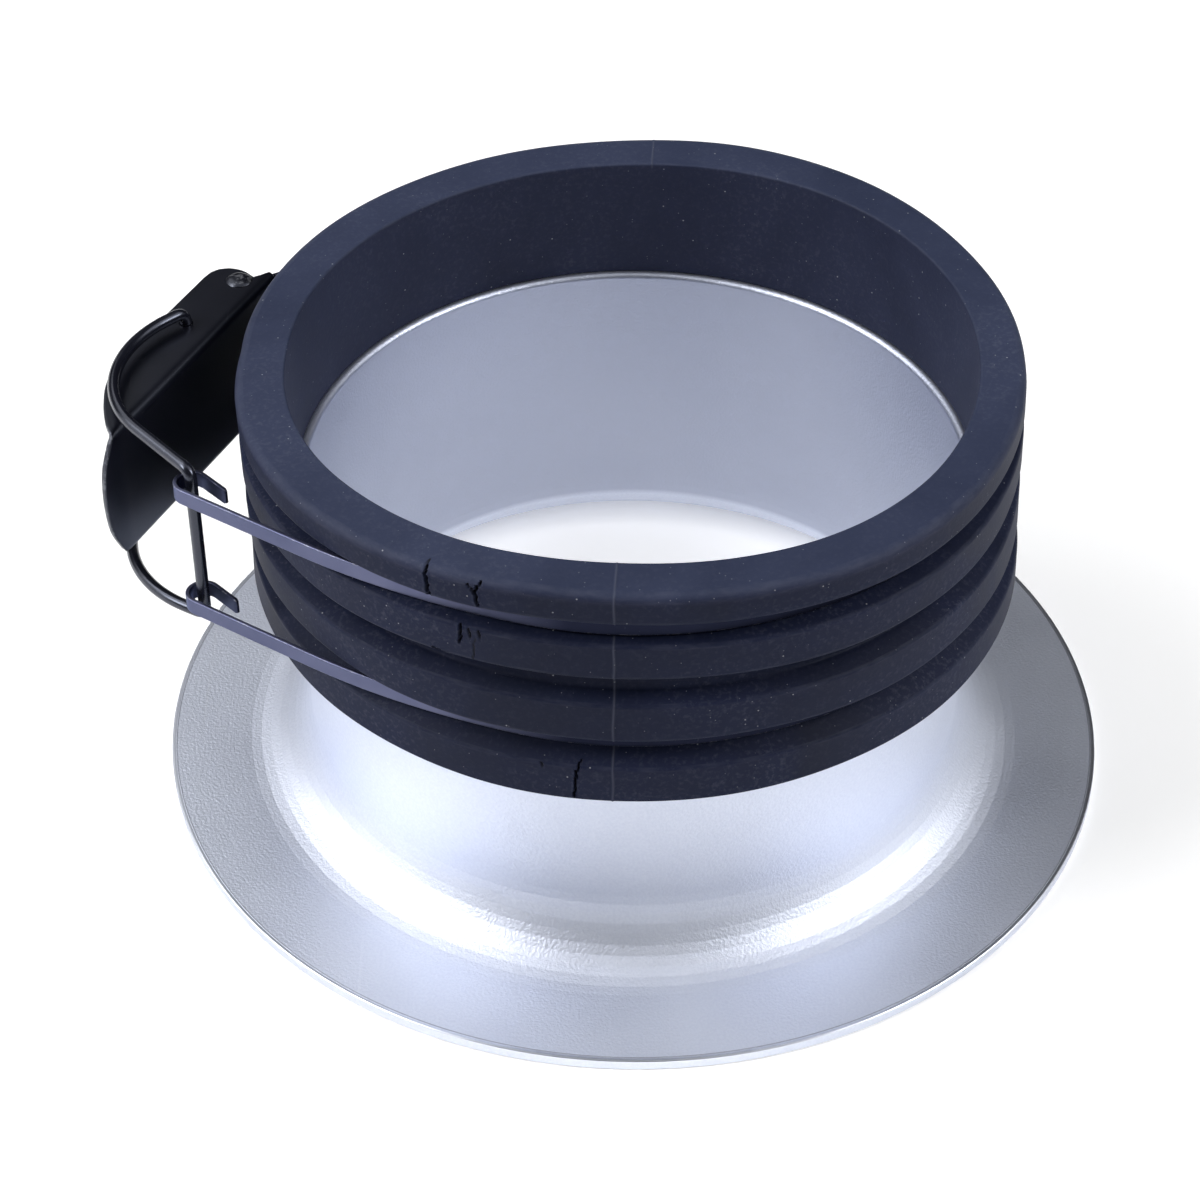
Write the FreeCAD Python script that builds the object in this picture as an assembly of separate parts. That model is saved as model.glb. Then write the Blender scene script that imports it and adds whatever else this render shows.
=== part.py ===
import FreeCAD, Part
import math
import os

V = FreeCAD.Vector

# Flared mounting ring with a ribbed rubber collar and a toggle latch that tightens two bands.
# Millimetres. Origin on the axis, on the underside of the flange; +Z up to the collar mouth.
# The latch stands on the -X side.

# --- flared metal ring ---
PLATE_T = 1.7             # one wall thickness, rim to flange
NECK_R = 50.6             # outside of the neck
NECK_TOP_Z = 52.4
FLANGE_R = 73.1
FLARE_R = 10.0            # outside radius of the flare between neck and flange
EDGE_ROUND = 0.5

# --- rubber collar ---
COLLAR_TOP_Z = 72.9
COLLAR_BASE_Z = 37.2
BORE_R = 50.0             # takes a 100 mm head above the metal rim
COLLAR_TOP_R = 56.8
COLLAR_BASE_R = 57.5
GROOVE_R = 54.3
RIB_ROUND = 0.6
MOUTH_ROUND = 1.2
GROOVES = (               # ceiling, lower end of the flat floor, top edge of the rib below
    (68.0, 65.3, 64.5),
    (58.8, 55.6, 54.3),
    (48.05, 45.2, 43.3),
)

# --- bands and hooks ---
BAND_T = 0.6
BAND_H = 2.5
BAND_R = 54.7             # middle of the strip where it lies in its groove
BAND_TOP_Z = 67.95        # upper band; the lower one mirrors it
MID_Z = 56.7              # level the two bands, the lever and the bail mirror about
TAIL_START_DEG = -107.3   # where the strip leaves the collar towards the hook
TAIL_BEND_R = 120.0       # slack bow of the strip before it runs straight
TAIL_BEND_DEG = 15.9
HOOK_R = 2.25             # middle of the strip round the hook
HOOK_X = -62.05
HOOK_WRAP_DEG = 193.0
LIP_L = 5.0
TAIL_GAP_DEG = 0.05       # fine slit between a band and its tail
EYE_WRAP_DEG = 300.0
EYE_CLEAR = 0.05          # running clearance round the hinge pin
NARROW_DROP = 2.6         # edgewise jog that brings the eye between the lever's flanges
NARROW_FROM = 13.0        # distance of the jog from the hinge pin
NARROW_RUN = 8.0

# --- latch lever, drawn in its own plan: S along the lever, W away from the collar ---
LEVER_T = 0.9
LEVER_HALF = 11.0
LEVER_DIR_DEG = -115.37
LEVER_REF = (-56.67, 22.63)
FLANGE_W = 9.2
LEVER_BEND_R = 1.3
HINGE_SW = (-0.42, 3.9)
BAIL_SW = (12.65, 5.28)
LEVER_START_S = -4.6
LEVER_END_S = 40.6
TONGUE_S = 43.5
TONGUE_CURL_R = 13.0
PIN_R = 1.5
PIN_HEAD_R = 2.0
PIN_HEAD_H = 0.5

# --- wire bail ---
WIRE_R = 0.9
WIRE_CLEAR = 0.05
ARM_Z = 13.0              # arm height above or below MID_Z
ARM_BOW_R = 19.5
UPPER_ARM_DEG = (-137.3, -48.5)   # headings of an arm as it leaves the lever and as it reaches the bar
LOWER_ARM_DEG = (-117.7, -30.5)   # the wire is bent by hand, so its two arms are not quite alike
WIRE_BEND_R = 1.5
WIRE_END = 1.2            # wire standing inside the lever's flange


def polar(radius, degrees):
    angle = math.radians(degrees)
    return V(radius * math.cos(angle), radius * math.sin(angle), 0)


def line(a, b):
    return Part.makeLine(a, b)


def arc(a, mid, b):
    return Part.Arc(a, mid, b).toShape()


def face(edges):
    return Part.Face(Part.Wire(Part.__sortEdges__(edges)))


def polygon(points):
    return Part.Face(Part.makePolygon(points + [points[0]]))


def save(shape, name):
    shape = shape.removeSplitter()
    solid = shape.Solids[0]
    if len(shape.Solids) != 1:
        raise ValueError(name + " is not one solid")
    if not solid.isValid():
        raise ValueError(name + " is not valid")
    solid.exportStep("parts/" + name + ".step")


def both_sides(shape, name):
    """Save the upper piece and its mirror image below the latch's middle level."""
    save(shape, "upper_" + name)
    save(shape.mirror(V(0, 0, MID_Z), V(0, 0, 1)), "lower_" + name)


def flared_ring():
    """Spun ring of one thickness: neck, flare and flat flange."""
    inner_r = NECK_R - PLATE_T
    flare_z = PLATE_T + FLARE_R
    flare_x = NECK_R + FLARE_R
    diag = math.sqrt(0.5)
    in_r = FLARE_R + PLATE_T
    edges = [
        line(V(NECK_R, 0, flare_z), V(NECK_R, 0, NECK_TOP_Z - PLATE_T / 2)),
        arc(
            V(NECK_R, 0, NECK_TOP_Z - PLATE_T / 2),
            V(NECK_R - PLATE_T / 2, 0, NECK_TOP_Z),
            V(inner_r, 0, NECK_TOP_Z - PLATE_T / 2),
        ),
        line(V(inner_r, 0, NECK_TOP_Z - PLATE_T / 2), V(inner_r, 0, flare_z)),
        arc(V(inner_r, 0, flare_z), V(flare_x - in_r * diag, 0, flare_z - in_r * diag), V(flare_x, 0, 0)),
        line(V(flare_x, 0, 0), V(FLANGE_R, 0, 0)),
        line(V(FLANGE_R, 0, 0), V(FLANGE_R, 0, PLATE_T - EDGE_ROUND)),
        arc(
            V(FLANGE_R, 0, PLATE_T - EDGE_ROUND),
            V(FLANGE_R - EDGE_ROUND * (1 - diag), 0, PLATE_T - EDGE_ROUND * (1 - diag)),
            V(FLANGE_R - EDGE_ROUND, 0, PLATE_T),
        ),
        line(V(FLANGE_R - EDGE_ROUND, 0, PLATE_T), V(flare_x, 0, PLATE_T)),
        arc(
            V(flare_x, 0, PLATE_T),
            V(flare_x - FLARE_R * diag, 0, flare_z - FLARE_R * diag),
            V(NECK_R, 0, flare_z),
        ),
    ]
    return face(edges).revolve(V(0, 0, 0), V(0, 0, 1), 360)


def rubber_collar():
    """Four ribs and three grooves, tapering a little; a shoulder inside sits on the metal rim."""

    def wall_r(z):
        share = (COLLAR_TOP_Z - z) / (COLLAR_TOP_Z - COLLAR_BASE_Z)
        return COLLAR_TOP_R + share * (COLLAR_BASE_R - COLLAR_TOP_R)

    diag = 1 - math.sqrt(0.5)
    top_r = wall_r(COLLAR_TOP_Z)
    edges = [
        line(V(BORE_R + EDGE_ROUND, 0, COLLAR_TOP_Z), V(top_r - MOUTH_ROUND, 0, COLLAR_TOP_Z)),
        arc(
            V(top_r - MOUTH_ROUND, 0, COLLAR_TOP_Z),
            V(top_r - MOUTH_ROUND * diag, 0, COLLAR_TOP_Z - MOUTH_ROUND * diag),
            V(top_r, 0, COLLAR_TOP_Z - MOUTH_ROUND),
        ),
    ]
    last = V(top_r, 0, COLLAR_TOP_Z - MOUTH_ROUND)
    for ceiling_z, floor_z, rib_z in GROOVES:
        lip_r = wall_r(ceiling_z)
        rib_r = wall_r(rib_z)
        above_lip = V(lip_r, 0, ceiling_z + RIB_ROUND)
        lip_end = V(lip_r - RIB_ROUND, 0, ceiling_z)
        shoulder = V(rib_r - RIB_ROUND, 0, rib_z)
        wall_top = V(rib_r, 0, rib_z - RIB_ROUND)
        edges += [
            line(last, above_lip),
            arc(above_lip, V(lip_r - RIB_ROUND * diag, 0, ceiling_z + RIB_ROUND * diag), lip_end),
            line(lip_end, V(GROOVE_R, 0, ceiling_z)),
            line(V(GROOVE_R, 0, ceiling_z), V(GROOVE_R, 0, floor_z)),
            line(V(GROOVE_R, 0, floor_z), shoulder),
            arc(shoulder, V(rib_r - RIB_ROUND * diag, 0, rib_z - RIB_ROUND * diag), wall_top),
        ]
        last = wall_top
    base_r = wall_r(COLLAR_BASE_Z)
    base_top = V(base_r, 0, COLLAR_BASE_Z + RIB_ROUND)
    edges += [
        line(last, base_top),
        arc(
            base_top,
            V(base_r - RIB_ROUND * diag, 0, COLLAR_BASE_Z + RIB_ROUND * diag),
            V(base_r - RIB_ROUND, 0, COLLAR_BASE_Z),
        ),
        line(V(base_r - RIB_ROUND, 0, COLLAR_BASE_Z), V(NECK_R, 0, COLLAR_BASE_Z)),
        line(V(NECK_R, 0, COLLAR_BASE_Z), V(NECK_R, 0, NECK_TOP_Z)),
        line(V(NECK_R, 0, NECK_TOP_Z), V(BORE_R, 0, NECK_TOP_Z)),
        line(V(BORE_R, 0, NECK_TOP_Z), V(BORE_R, 0, COLLAR_TOP_Z - EDGE_ROUND)),
        arc(
            V(BORE_R, 0, COLLAR_TOP_Z - EDGE_ROUND),
            V(BORE_R + EDGE_ROUND * diag, 0, COLLAR_TOP_Z - EDGE_ROUND * diag),
            V(BORE_R + EDGE_ROUND, 0, COLLAR_TOP_Z),
        ),
    ]
    return face(edges).revolve(V(0, 0, 0), V(0, 0, 1), 360)


def bent_strip(centre, radius, start_deg, sweep_deg, low_z, height):
    """Piece of strip bent about a vertical axis, centred on the given radius."""
    first = start_deg if sweep_deg > 0 else start_deg + sweep_deg
    inner = polar(radius - BAND_T / 2, first) + centre
    outer = polar(radius + BAND_T / 2, first) + centre
    section = polygon([
        inner + V(0, 0, low_z),
        outer + V(0, 0, low_z),
        outer + V(0, 0, low_z + height),
        inner + V(0, 0, low_z + height),
    ])
    return section.revolve(centre, V(0, 0, 1), abs(sweep_deg))


def straight_strip(start, heading_deg, outline):
    """Flat piece of strip; outline is a list of (distance along the heading, z)."""
    along = polar(1, heading_deg)
    across = polar(1, heading_deg + 90)
    base = start - across * (BAND_T / 2)
    points = [base + along * t + V(0, 0, z) for t, z in outline]
    return polygon(points).extrude(across * BAND_T)


def plain_strip(start, heading_deg, length, low_z):
    high_z = low_z + BAND_H
    return straight_strip(start, heading_deg, [(0, low_z), (length, low_z), (length, high_z), (0, high_z)])


def lever_point(s, w):
    along = polar(1, LEVER_DIR_DEG)
    out = polar(1, LEVER_DIR_DEG - 90)
    return V(LEVER_REF[0], LEVER_REF[1], 0) + along * s + out * w


HINGE = lever_point(*HINGE_SW)
BAIL_PIVOT = lever_point(*BAIL_SW)
LINE_DEG = TAIL_START_DEG - TAIL_BEND_DEG            # outward normal of the straight run to the hook
BOW_CENTRE = polar(TAIL_BEND_R - BAND_R, TAIL_START_DEG + 180)
LINE_R = BOW_CENTRE.dot(polar(1, LINE_DEG)) + TAIL_BEND_R
HOOK_CENTRE_R = LINE_R - HOOK_R
HOOK_Y = (HOOK_CENTRE_R - HOOK_X * math.cos(math.radians(LINE_DEG))) / math.sin(math.radians(LINE_DEG))
HOOK = V(HOOK_X, HOOK_Y, 0)


def band():
    """Strip round the collar, running off it to an eye on the hinge pin."""
    low_z = BAND_TOP_Z - BAND_H
    eye_r = PIN_R + EYE_CLEAR + BAND_T / 2
    hinge_r = HINGE.Length
    hinge_deg = math.degrees(math.atan2(HINGE.y, HINGE.x))
    leave_deg = hinge_deg - math.degrees(math.acos((BAND_R - eye_r) / hinge_r))
    run = math.sqrt(hinge_r ** 2 - (BAND_R - eye_r) ** 2)
    wrapped = bent_strip(V(0, 0, 0), BAND_R, TAIL_START_DEG, leave_deg - TAIL_START_DEG, low_z, BAND_H)
    jog_end = run - NARROW_FROM
    jog_start = jog_end - NARROW_RUN
    high_z = low_z + BAND_H
    outline = [
        (0, low_z),
        (jog_start, low_z),
        (jog_end, low_z - NARROW_DROP),
        (run, low_z - NARROW_DROP),
        (run, high_z - NARROW_DROP),
        (jog_end, high_z - NARROW_DROP),
        (jog_start, high_z),
        (0, high_z),
    ]
    flat = straight_strip(polar(BAND_R, leave_deg), leave_deg + 90, outline)
    eye = bent_strip(HINGE, eye_r, leave_deg, EYE_WRAP_DEG, low_z - NARROW_DROP, BAND_H)
    return wrapped.fuse([flat, eye])


def hook_strip():
    """Free tail of a band: a slack bow, a straight run and the open hook with its lip."""
    low_z = BAND_TOP_Z - BAND_H
    bow = bent_strip(
        BOW_CENTRE, TAIL_BEND_R, TAIL_START_DEG - TAIL_GAP_DEG, TAIL_GAP_DEG - TAIL_BEND_DEG, low_z, BAND_H
    )
    run_start = BOW_CENTRE + polar(TAIL_BEND_R, LINE_DEG)
    run_end = HOOK + polar(HOOK_R, LINE_DEG)
    heading = LINE_DEG - 90
    run_l = (run_end - run_start).Length
    flat = plain_strip(run_start, heading, run_l, low_z)
    loop = bent_strip(HOOK, HOOK_R, LINE_DEG, -HOOK_WRAP_DEG, low_z, BAND_H)
    lip_start = HOOK + polar(HOOK_R, LINE_DEG - HOOK_WRAP_DEG)
    lip = plain_strip(lip_start, heading - HOOK_WRAP_DEG, LIP_L, low_z)
    return bow.fuse([flat, loop, lip])


def plan_spline(points):
    curve = Part.BSplineCurve()
    curve.interpolate([lever_point(s, w) for s, w in points])
    return curve.toShape()


def plan_line(a, b):
    return line(lever_point(*a), lever_point(*b))


def web_end_block(start_s):
    """Block that takes away the flat web past the start of the tongue, between the flange bends."""
    half = LEVER_HALF - 0.25
    face_w = LEVER_T + 0.02
    corners = [
        lever_point(start_s, -0.5),
        lever_point(50, -0.5),
        lever_point(50, face_w),
        lever_point(start_s, face_w),
    ]
    return polygon([c + V(0, 0, MID_Z - half) for c in corners]).extrude(V(0, 0, 2 * half))


def latch_lever():
    """Sheet-metal channel: web towards the collar, two shaped flanges, and a curled tongue."""
    heel = (LEVER_START_S, LEVER_T)
    lobe_low = (-2.3, 2.4)
    lobe_top = (0.6, FLANGE_W)
    shoulder = (25.0, FLANGE_W)
    nose = (39.9, 1.3)
    outline = face([
        plan_line((LEVER_START_S, -1), heel),
        plan_line(heel, lobe_low),
        plan_spline([lobe_low, (-3.0, 4.2), (-3.05, 6.0), (-2.35, 7.7), (-1.2, 8.7), lobe_top]),
        plan_line(lobe_top, shoulder),
        plan_spline([shoulder, (29.8, 8.1), (34.6, 5.7), (37.8, 3.5), nose]),
        plan_line(nose, (LEVER_END_S, LEVER_T)),
        plan_line((LEVER_END_S, LEVER_T), (LEVER_END_S, -1)),
        plan_line((LEVER_END_S, -1), (LEVER_START_S, -1)),
    ])
    out = polar(1, LEVER_DIR_DEG - 90)
    up = V(0, 0, 1)
    along = polar(1, LEVER_DIR_DEG)
    start = lever_point(LEVER_START_S, 0) + up * MID_Z

    def section_block(inset, corner_r):
        """Rounded half of a box section, inset by a wall thickness."""
        half = LEVER_HALF - inset
        near = inset
        far = FLANGE_W + 2
        bulge = corner_r * (1 - math.sqrt(0.5))

        def at(w, z):
            return start + out * w + up * z

        edges = [
            line(at(far, half), at(near + corner_r, half)),
            arc(at(near + corner_r, half), at(near + bulge, half - bulge), at(near, half - corner_r)),
            line(at(near, half - corner_r), at(near, -half + corner_r)),
            arc(at(near, -half + corner_r), at(near + bulge, -half + bulge), at(near + corner_r, -half)),
            line(at(near + corner_r, -half), at(far, -half)),
            line(at(far, -half), at(far, half)),
        ]
        return face(edges).extrude(along * (LEVER_END_S - LEVER_START_S))

    channel = section_block(0, LEVER_BEND_R).cut(section_block(LEVER_T, LEVER_BEND_R - LEVER_T))
    trim = outline.copy()
    trim.translate(up * (MID_Z - LEVER_HALF - 1))
    channel = channel.common(trim.extrude(up * (2 * LEVER_HALF + 2)))

    curl_start = 39.0
    curl_centre = lever_point(curl_start, TONGUE_CURL_R)
    sweep = 40.0
    first = LEVER_DIR_DEG + 90
    inner = curl_centre + polar(TONGUE_CURL_R - LEVER_T, first)
    outer = curl_centre + polar(TONGUE_CURL_R, first)
    low = up * (MID_Z - LEVER_HALF)
    high = up * (MID_Z + LEVER_HALF)
    sheet = polygon([inner + low, outer + low, outer + high, inner + high]).revolve(curl_centre, -up, sweep)

    def at_sz(s, z):
        return lever_point(s, -3) + up * (MID_Z + z)

    rim = Part.BSplineCurve()
    rim.interpolate([
        at_sz(39.6, 10.75),
        at_sz(41.5, 9.3),
        at_sz(42.9, 6.0),
        at_sz(TONGUE_S, 0),
        at_sz(42.9, -6.0),
        at_sz(41.5, -9.3),
        at_sz(39.6, -10.75),
    ])
    shape = face([
        rim.toShape(),
        line(at_sz(39.6, 10.75), at_sz(38.0, 10.75)),
        line(at_sz(38.0, 10.75), at_sz(38.0, -10.75)),
        line(at_sz(38.0, -10.75), at_sz(39.6, -10.75)),
    ])
    tongue = sheet.common(shape.extrude(out * 12))
    body = channel.cut(web_end_block(curl_start)).fuse(tongue)

    hole_low = up * (MID_Z - LEVER_HALF - 2)
    reach = 2 * LEVER_HALF + 4
    body = body.cut(Part.makeCylinder(PIN_R, reach, HINGE + hole_low))
    return body.cut(Part.makeCylinder(WIRE_R + WIRE_CLEAR, reach, BAIL_PIVOT + hole_low))


def hinge_pin():
    """Plain pin peened over outside both flanges."""
    low_z = MID_Z - LEVER_HALF - PIN_HEAD_H
    high_z = MID_Z + LEVER_HALF
    shank = Part.makeCylinder(PIN_R, high_z - low_z, HINGE + V(0, 0, low_z))
    foot = Part.makeCone(PIN_HEAD_R - 0.4, PIN_HEAD_R, PIN_HEAD_H, HINGE + V(0, 0, low_z))
    head = Part.makeCone(PIN_HEAD_R, PIN_HEAD_R - 0.4, PIN_HEAD_H, HINGE + V(0, 0, high_z))
    return shank.fuse([foot, head])


def bail_half(side, out_deg, in_deg):
    """One half of the wire, from its end inside the lever to the middle of the bar. Side is 1 or -1."""
    up = V(0, 0, side)
    middle = V(0, 0, MID_Z)
    out_dir = polar(1, out_deg)
    in_dir = polar(1, in_deg)
    # corner where the two straight runs of the arm would meet
    gap = HOOK - BAIL_PIVOT
    cross = out_dir.x * in_dir.y - out_dir.y * in_dir.x
    reach = (gap.x * in_dir.y - gap.y * in_dir.x) / cross
    corner = BAIL_PIVOT + out_dir * reach
    setback = ARM_BOW_R * math.tan(math.radians(in_deg - out_deg) / 2)
    bow_start = corner - out_dir * setback
    bow_end = corner + in_dir * setback
    bow_centre = bow_start + polar(ARM_BOW_R, out_deg + 90)
    bow_mid = bow_centre + polar(ARM_BOW_R, (out_deg + in_deg) / 2 - 90)
    lift = middle + up * ARM_Z
    below = middle + up * (ARM_Z - WIRE_BEND_R)
    bulge = WIRE_BEND_R * (1 - math.sqrt(0.5))
    nearly = middle + up * (ARM_Z - bulge)
    end = BAIL_PIVOT + middle + up * (LEVER_HALF - LEVER_T - WIRE_END)
    path = Part.Wire([
        line(end, BAIL_PIVOT + below),
        arc(
            BAIL_PIVOT + below,
            BAIL_PIVOT + out_dir * bulge + nearly,
            BAIL_PIVOT + out_dir * WIRE_BEND_R + lift,
        ),
        line(BAIL_PIVOT + out_dir * WIRE_BEND_R + lift, bow_start + lift),
        arc(bow_start + lift, bow_mid + lift, bow_end + lift),
        line(bow_end + lift, HOOK - in_dir * WIRE_BEND_R + lift),
        arc(HOOK - in_dir * WIRE_BEND_R + lift, HOOK - in_dir * bulge + nearly, HOOK + below),
        line(HOOK + below, HOOK + middle),
    ])
    ring = Part.Wire([Part.makeCircle(WIRE_R, end, up)])
    return path.makePipeShell([ring], True, True)


def latch_bail():
    """One bent wire: turned-in ends in the lever's holes, two bowed arms and the hook bar."""
    return bail_half(1, *UPPER_ARM_DEG).fuse(bail_half(-1, *LOWER_ARM_DEG))


os.makedirs("parts", exist_ok=True)
save(flared_ring(), "flared_ring")
save(rubber_collar(), "rubber_collar")
both_sides(band(), "band")
both_sides(hook_strip(), "hook_strip")
save(latch_lever(), "latch_lever")
save(hinge_pin(), "hinge_pin")
save(latch_bail(), "latch_bail")
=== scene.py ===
import math

import bpy
import numpy as np
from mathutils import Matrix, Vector


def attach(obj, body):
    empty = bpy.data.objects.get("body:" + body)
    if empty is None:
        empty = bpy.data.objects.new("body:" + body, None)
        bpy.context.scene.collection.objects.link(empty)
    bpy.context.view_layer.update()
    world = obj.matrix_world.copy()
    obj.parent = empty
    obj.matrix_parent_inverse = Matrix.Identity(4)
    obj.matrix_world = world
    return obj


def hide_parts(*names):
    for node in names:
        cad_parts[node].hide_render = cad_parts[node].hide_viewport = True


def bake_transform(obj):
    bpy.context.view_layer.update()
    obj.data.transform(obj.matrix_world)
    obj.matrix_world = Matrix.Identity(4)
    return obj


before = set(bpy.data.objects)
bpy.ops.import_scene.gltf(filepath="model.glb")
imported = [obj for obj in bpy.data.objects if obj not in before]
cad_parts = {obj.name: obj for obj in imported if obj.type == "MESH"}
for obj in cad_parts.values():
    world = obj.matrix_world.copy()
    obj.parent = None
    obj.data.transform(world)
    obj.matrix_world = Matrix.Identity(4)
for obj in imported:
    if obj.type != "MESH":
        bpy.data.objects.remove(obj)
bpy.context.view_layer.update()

# Lengths are millimetres until a mesh is made. The first four groups repeat the CAD source's values.
MM = 0.001

# --- ring and collar ---
PLATE_T = 1.7
NECK_R = 50.6
NECK_TOP_Z = 52.4
FLANGE_R = 73.1
FLARE_R = 10.0
COLLAR_TOP_Z = 72.9
COLLAR_BASE_Z = 37.2
BORE_R = 50.0
COLLAR_TOP_R = 56.8
COLLAR_BASE_R = 57.5
GROOVE_R = 54.3
RIB_ROUND = 0.6
MOUTH_ROUND = 1.2
# each groove's ceiling, floor and the rib below it
GROOVES = (
    (68.0, 65.3, 64.5),
    (58.8, 55.6, 54.3),
    (48.05, 45.2, 43.3),
)

# --- bands and hooks ---
BAND_T = 0.6
BAND_H = 2.5
BAND_R = 54.7
BAND_TOP_Z = 67.95
MID_Z = 56.7
TAIL_START_DEG = -107.3
TAIL_BEND_R = 120.0
TAIL_BEND_DEG = 15.9
HOOK_R = 2.25
HOOK_X = -62.05
HOOK_WRAP_DEG = 193.0
LIP_L = 5.0
EYE_WRAP_DEG = 300.0
EYE_CLEAR = 0.05
NARROW_DROP = 2.6
NARROW_FROM = 13.0
NARROW_RUN = 8.0

# --- lever and pin ---
LEVER_T = 0.9
LEVER_HALF = 11.0
LEVER_DIR_DEG = -115.37
LEVER_REF = np.array([-56.67, 22.63])
FLANGE_W = 9.2
LEVER_BEND_R = 1.3
HINGE_SW = (-0.42, 3.9)
BAIL_SW = (12.65, 5.28)
TONGUE_CURL_R = 13.0
CURL_START_S = 39.0
PIN_R = 1.5
PIN_HEAD_R = 2.0
PIN_HEAD_H = 0.5

# --- wire bail ---
WIRE_R = 0.9
WIRE_CLEAR = 0.05
ARM_Z = 13.0
ARM_BOW_R = 19.5
UPPER_ARM_DEG = (-137.3, -48.5)
LOWER_ARM_DEG = (-117.7, -30.5)
WIRE_BEND_R = 1.5
WIRE_END = 1.2

# --- details only the visible meshes have ---
HARD_EDGE_DEG = 40.0
TURN_STEP_DEG = 0.75
WEAR_GAP = 0.12
STRIP_WEAR_GAP = 0.06
STRIP_STEP = 0.8
STRIP_END_RUN = 0.45
LEVER_EDGE_ROUND = 0.2
LEVER_EDGE_STEPS = 4
LEVER_COLUMNS = 96
HOLE_LIP = 0.12
WIRE_SIDES = 28
WIRE_STEP = 0.35
WIRE_LONGEST = 1.2
# how far from a wire's end, and how much thinner it is there
WIRE_TAPER = ((0.0, 0.25), (0.08, 0.07), (0.25, 0.0))
# the flange is not perfectly flat: it lifts outside a radius, over a run, by this much
WARP_R = 60.0
WARP_RUN = 13.0
WARP_RISE = 0.05
# mould line, front and back: degrees, and how far it stands out
SEAMS = ((-93.5, 0.13), (86.7, 0.10))
SEAM_HALF_W = 0.15
# parts of the collar with a finer mesh: from, to and step in degrees
NICKED_SPANS = ((-121.0, -110.5, 0.11), (-104.2, -97.4, 0.11))
SEAM_SPAN_DEG = 0.8
SEAM_STEP_DEG = 0.08
# The free rubber mouth is not quite round: (degrees, outward millimetres inside, and outside).
MOUTH_SPREAD = (
    (-180, 0.3, 0.35), (-168, 0.9, 1.4), (-150, 1.2, 1.7), (-135, 0.7, 1.4), (-120, 0.0, 0.5),
    (-105, -0.9, -0.5), (-95, -1.2, -0.7), (-75, -0.7, -0.3), (-60, -0.1, 0.4), (-40, 0.0, 0.2),
    (-15, -0.6, -0.7), (0, -0.7, -0.9), (20, -0.4, -0.5), (40, 0.0, 0.5), (55, 0.2, 1.2),
    (70, 0.0, 1.45), (90, -0.7, 0.65), (120, -0.9, 0.25), (150, -0.5, 0.2), (168, 0.0, 0.4),
    (180, 0.3, 0.35),
)
SPREAD_DEPTH = 30.0
# Nicks in the rubber: points (degrees round the collar, z), half width, depth.
NICK_R = 56.6
NICKS = (
    (((-119.75, 73.0), (-119.45, 70.8), (-119.2, 68.3)), 0.26, 0.95),
    (((-111.8, 72.3), (-112.5, 70.9), (-112.15, 68.7)), 0.24, 0.75),
    (((-113.5, 71.9), (-112.6, 70.7)), 0.20, 0.45),
    (((-114.65, 64.4), (-114.75, 61.8)), 0.24, 0.7),
    (((-113.5, 64.2), (-113.2, 63.1)), 0.20, 0.35),
    (((-112.1, 64.2), (-111.8, 63.2)), 0.20, 0.35),
    (((-112.7, 62.6), (-112.9, 58.8)), 0.14, 0.16),
    (((-118.8, 59.3), (-117.7, 59.0), (-117.0, 58.8)), 0.24, 0.55),
    (((-98.0, 43.7), (-98.55, 42.3), (-98.75, 37.9)), 0.18, 0.85),
    (((-103.4, 43.2), (-103.1, 42.6)), 0.20, 0.30),
)

# --- floor, lights and camera; lengths here are metres, except the floor's ---
FLOOR_HALF = 4000.0
FLOOR_Z = -0.05
HORIZON_LEVEL = 0.535
BOX_TARGET = (0.0, 0.0, 0.03)
BOX_DISTANCE = 0.9
# name, azimuth, elevation, size, watts
BOXES = (
    ("left_low", 180, 22, 0.6, 1.6),
    ("left_high", 180, 50, 0.6, 4.0),
    ("left_front", 200, 36, 0.36, 4.1),
    ("back_left", 135, 50, 0.6, 1.6),
    ("right_low", 0, 22, 0.6, 0.5),
    ("right_high", 0, 50, 0.6, 2.2),
    ("right_front", 340, 36, 0.36, 4.2),
    ("overhead", 0, 89, 0.6, 1.0),
)
CAMERA_AT = (-0.00527, -0.3506, 0.3216)
CAMERA_TILT_DEG = 49.78
CAMERA_LENS = 89.14
CAMERA_SENSOR = 36.0


# ------------------------------------------------------------------ shapes

def unit(vector):
    return vector / np.linalg.norm(vector)


def heading(degrees):
    """Unit vector in plan."""
    angle = math.radians(degrees)
    return np.array([math.cos(angle), math.sin(angle)])


def lever_point(s, w):
    """Plan position of a point given in the lever's own axes."""
    return LEVER_REF + heading(LEVER_DIR_DEG) * s + heading(LEVER_DIR_DEG - 90) * w


HINGE = lever_point(*HINGE_SW)
BAIL_PIVOT = lever_point(*BAIL_SW)
LINE_DEG = TAIL_START_DEG - TAIL_BEND_DEG
BOW_CENTRE = heading(TAIL_START_DEG + 180) * (TAIL_BEND_R - BAND_R)
HOOK_CENTRE_R = BOW_CENTRE @ heading(LINE_DEG) + TAIL_BEND_R - HOOK_R
HOOK_Y = (HOOK_CENTRE_R - HOOK_X * heading(LINE_DEG)[0]) / heading(LINE_DEG)[1]
HOOK = np.array([HOOK_X, HOOK_Y])
BEND_LENGTH = LEVER_BEND_R * math.pi / 2
WEB_FLAT = LEVER_HALF - LEVER_BEND_R


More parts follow.
